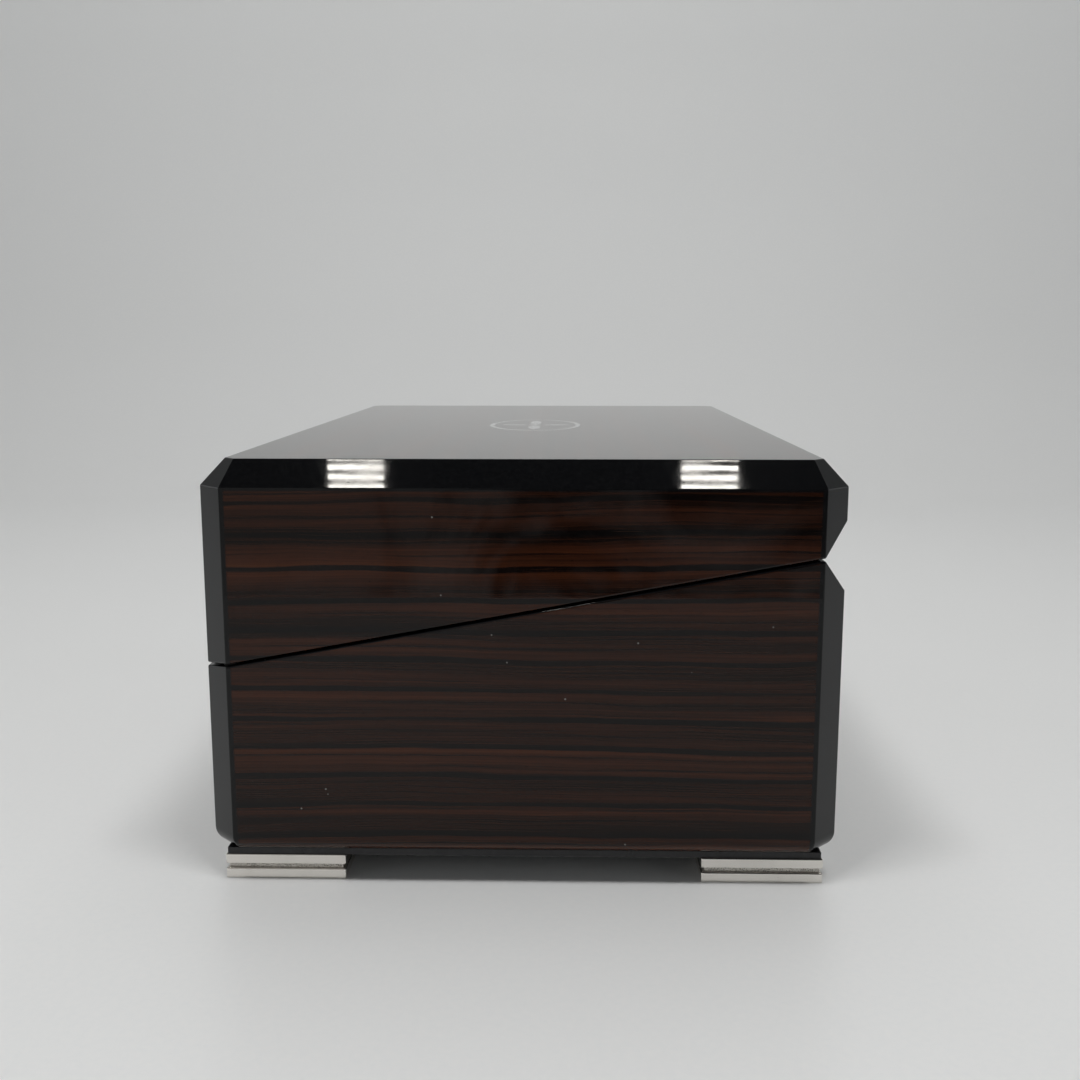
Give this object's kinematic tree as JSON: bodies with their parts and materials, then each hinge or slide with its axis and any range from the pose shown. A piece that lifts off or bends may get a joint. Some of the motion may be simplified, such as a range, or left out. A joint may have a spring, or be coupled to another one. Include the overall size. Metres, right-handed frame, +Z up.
{
  "type": "cylinder music box",
  "caption": "Lacquered veneered box with a diagonal lid seam on square metal feet, holding a pinned-cylinder musical movement under glass.",
  "frame": {"origin": "on the surface the box stands on, under the middle of the case", "axes": "+X along the case towards the governor end, +Y towards the hinges, +Z up"},
  "size_m": [0.2684, 0.17, 0.1153],
  "materials": {
    "veneer_lacquer": "striped ebony veneer under high-gloss clear lacquer, edges black",
    "black_lacquer": "satin black lacquer",
    "panel_lacquer": "gloss lacquer",
    "spruce": "planed, unfinished",
    "felt": "matte felt",
    "suede": "brushed suede",
    "inlay": "satin metal inlay",
    "clear_pad": "soft pad",
    "glass": "polished",
    "nickel": "polished nickel plate",
    "brass": "polished",
    "gilt_brass": "grained and gilt",
    "bronze": "turned",
    "steel": "polished",
    "comb_steel": "ground",
    "steel_pins": "ground",
    "blued_steel": "heat blued",
    "ruby": "polished synthetic stone"
  },
  "bodies": {
    "case": {"base_shell": "veneer_lacquer", "bottom_board": "spruce", "plinth_board": "black_lacquer", "felt_cover": "felt", "foot_front_left": "nickel", "foot_front_right": "nickel", "foot_back_left": "nickel", "foot_back_right": "nickel", "foot_screws": "steel", "hinge_leaves_base": "nickel", "hinge_pins": "nickel", "hinge_screws_base": "nickel", "lid_rest_pads": "clear_pad", "movement_panel": "panel_lacquer", "glass_cover": "glass", "glass_clips": "brass", "panel_screws": "brass", "panel_rails": "spruce", "bedplate": "gilt_brass", "bedplate_screws": "blued_steel", "bracket_screws": "blued_steel", "movement_screws": "blued_steel", "cylinder_bearings": "gilt_brass", "cylinder_bushes": "bronze", "comb": "comb_steel", "comb_base": "gilt_brass", "barrel_bridge": "gilt_brass", "bridge_pillars": "brass", "click_spring": "steel", "click_screw": "blued_steel", "governor_frame": "gilt_brass", "fly_cock": "gilt_brass", "cock_endstone": "ruby", "slide_guide": "brass"},
    "lid": {"lid_shell": "veneer_lacquer", "lid_lining": "suede", "lid_emblem": "inlay", "hinge_leaves_lid": "nickel", "hinge_screws_lid": "nickel"},
    "cylinder": {"cylinder_drum": "brass", "cylinder_pins": "steel_pins", "cylinder_caps": "brass", "cylinder_shaft": "steel", "cylinder_pinion": "steel", "great_wheel": "brass"},
    "barrel": {"spring_barrel": "gilt_brass", "barrel_cover": "brass", "mainspring": "blued_steel"},
    "winding": {"winding_arbor": "steel", "ratchet_wheel": "steel", "winding_key": "nickel"},
    "click": {"click": "steel"},
    "countershaft": {"countershaft": "steel", "governor_pinion": "steel", "worm_wheel": "bronze"},
    "fly": {"fly_shaft": "steel", "fly_worm": "steel", "fly": "brass"},
    "stop": {"stop_slide": "steel", "stop_knob": "nickel"}
  },
  "joints": [
    {"name": "lid_hinge", "type": "hinge", "parent": "case", "child": "lid", "pos_m": [0, 0.0782, 0.09004], "axis": [-1, 0, 0], "range_deg": [0, 98]},
    {"name": "cylinder_spin", "type": "hinge", "parent": "case", "child": "cylinder", "pos_m": [0.015, 0.012, 0.0365], "axis": [1, 0, 0], "continuous": true},
    {"name": "barrel_spin", "type": "hinge", "parent": "case", "child": "barrel", "pos_m": [-0.078, 0.012, 0.026], "axis": [0, 0, 1], "continuous": true},
    {"name": "countershaft_spin", "type": "hinge", "parent": "case", "child": "countershaft", "pos_m": [0.088, 0.02788, 0.032], "axis": [1, 0, 0], "continuous": true},
    {"name": "fly_spin", "type": "hinge", "parent": "case", "child": "fly", "pos_m": [0.091, 0.02007, 0.032], "axis": [0, 0, 1], "continuous": true},
    {"name": "key_wind", "type": "hinge", "parent": "case", "child": "winding", "pos_m": [-0.078, 0.012, 0.01], "axis": [0, 0, 1], "continuous": true},
    {"name": "click_lift", "type": "hinge", "parent": "case", "child": "click", "pos_m": [-0.0746, 0.0292, 0.0375], "axis": [0, 0, -1], "range_deg": [0, 8], "stiffness_Nm_per_rad": 0.002},
    {"name": "stop_slide_travel", "type": "slide", "parent": "case", "child": "stop", "axis": [0, -1, 0], "range_m": [0, 0.006]}
  ],
  "couplings": [
    {"joint": "barrel_spin", "follows": "cylinder_spin", "ratio": 0.25},
    {"joint": "countershaft_spin", "follows": "cylinder_spin", "ratio": -4.5},
    {"joint": "fly_spin", "follows": "cylinder_spin", "ratio": -45}
  ]
}
